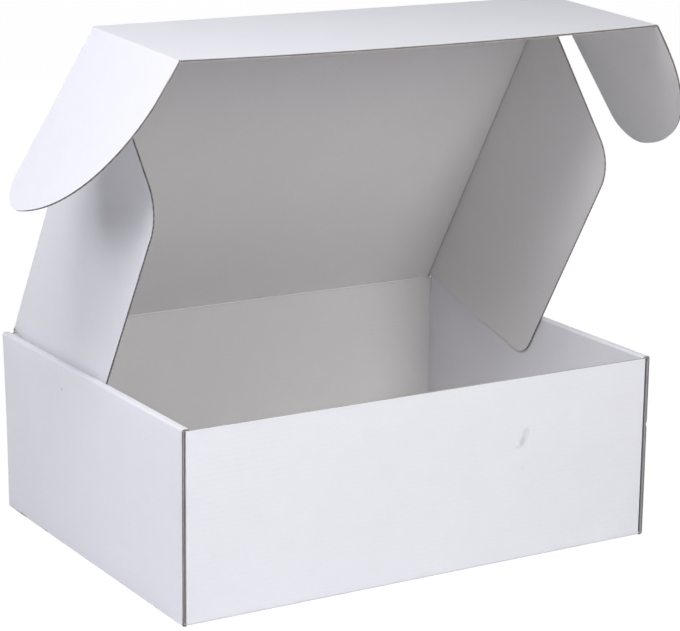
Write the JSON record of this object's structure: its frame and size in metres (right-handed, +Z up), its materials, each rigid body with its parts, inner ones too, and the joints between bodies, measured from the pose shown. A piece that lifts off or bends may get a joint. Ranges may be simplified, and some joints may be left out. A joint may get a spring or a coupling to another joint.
{
  "type": "corrugated mailer box",
  "caption": "White corrugated tuck-front mailer box standing open, with rolled double side walls, a hinged lid, dust flaps, a tuck flap and rounded ears that slide into the side walls.",
  "frame": {"origin": "middle of the tray's underside, on the surface the box stands on", "axes": "+X to the right seen from the front, +Y from the front wall to the back wall with the hinge, +Z up"},
  "size_m": [0.4473, 0.245, 0.3305],
  "materials": {
    "white_board": "matte white liner over a brown-grey fluted medium, which shows at the cut edges"
  },
  "bodies": {
    "tray": {"tray": "white_board"},
    "lid": {"lid": "white_board"},
    "dust_flap_left": {"dust_flap_left": "white_board"},
    "dust_flap_right": {"dust_flap_right": "white_board"},
    "tuck_flap": {"tuck_flap": "white_board"},
    "ear_left": {"ear_left": "white_board"},
    "ear_right": {"ear_right": "white_board"}
  },
  "joints": [
    {"name": "lid_hinge", "type": "hinge", "parent": "tray", "child": "lid", "pos_m": [0, 0.12185, 0.11885], "axis": [-1, 0, 0], "range_deg": [-58.3, 121.7]},
    {"name": "tuck_fold", "type": "hinge", "parent": "lid", "child": "tuck_flap", "pos_m": [0, -0.00847, 0.32985], "axis": [-1, 0, 0], "range_deg": [-29, 61]},
    {"name": "ear_left_fold", "type": "hinge", "parent": "tuck_flap", "child": "ear_left", "pos_m": [-0.16293, -0.00847, 0.32985], "axis": [0, 0.9989, 0.0471], "range_deg": [-31, 59]},
    {"name": "ear_right_fold", "type": "hinge", "parent": "tuck_flap", "child": "ear_right", "pos_m": [0.16293, -0.00847, 0.32985], "axis": [0, -0.9989, -0.0471], "range_deg": [-33, 57]},
    {"name": "dust_flap_left_fold", "type": "hinge", "parent": "lid", "child": "dust_flap_left", "pos_m": [-0.15861, 0.12185, 0.11885], "axis": [0, -0.5255, 0.8508], "range_deg": [0, 30]},
    {"name": "dust_flap_right_fold", "type": "hinge", "parent": "lid", "child": "dust_flap_right", "pos_m": [0.15861, 0.12185, 0.11885], "axis": [0, 0.5255, -0.8508], "range_deg": [0, 30]}
  ]
}
